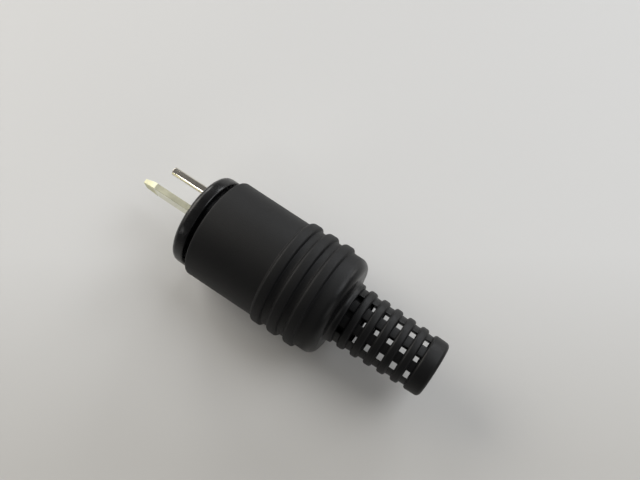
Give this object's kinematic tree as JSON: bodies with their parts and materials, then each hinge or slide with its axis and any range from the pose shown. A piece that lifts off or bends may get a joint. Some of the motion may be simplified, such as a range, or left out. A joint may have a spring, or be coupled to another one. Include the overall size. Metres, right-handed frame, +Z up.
{
  "type": "two-pin loudspeaker plug",
  "caption": "Loudspeaker plug with a flat blade and a shorter round pin, a matte black cover with grip rings, and a ribbed cage that relieves the cable's bend.",
  "frame": {"origin": "on the plug's axis, in the plane of the mating face, at the middle of the blade's root", "axes": "+X along the axis towards the cable end, +Z up as the plug lies on its side with the blade upright, +Y towards the round pin"},
  "size_m": [0.0481, 0.0158, 0.0158],
  "materials": {
    "cover_plastic": "black, finely textured",
    "carrier_plastic": "black, glossy",
    "blade_plating": "nickel plated, slightly yellowed",
    "pin_plating": "nickel plated, bright"
  },
  "bodies": {
    "root": {"cover": "cover_plastic", "contact_carrier": "carrier_plastic", "blade_contact": "blade_plating", "pin_contact": "pin_plating"}
  },
  "joints": []
}
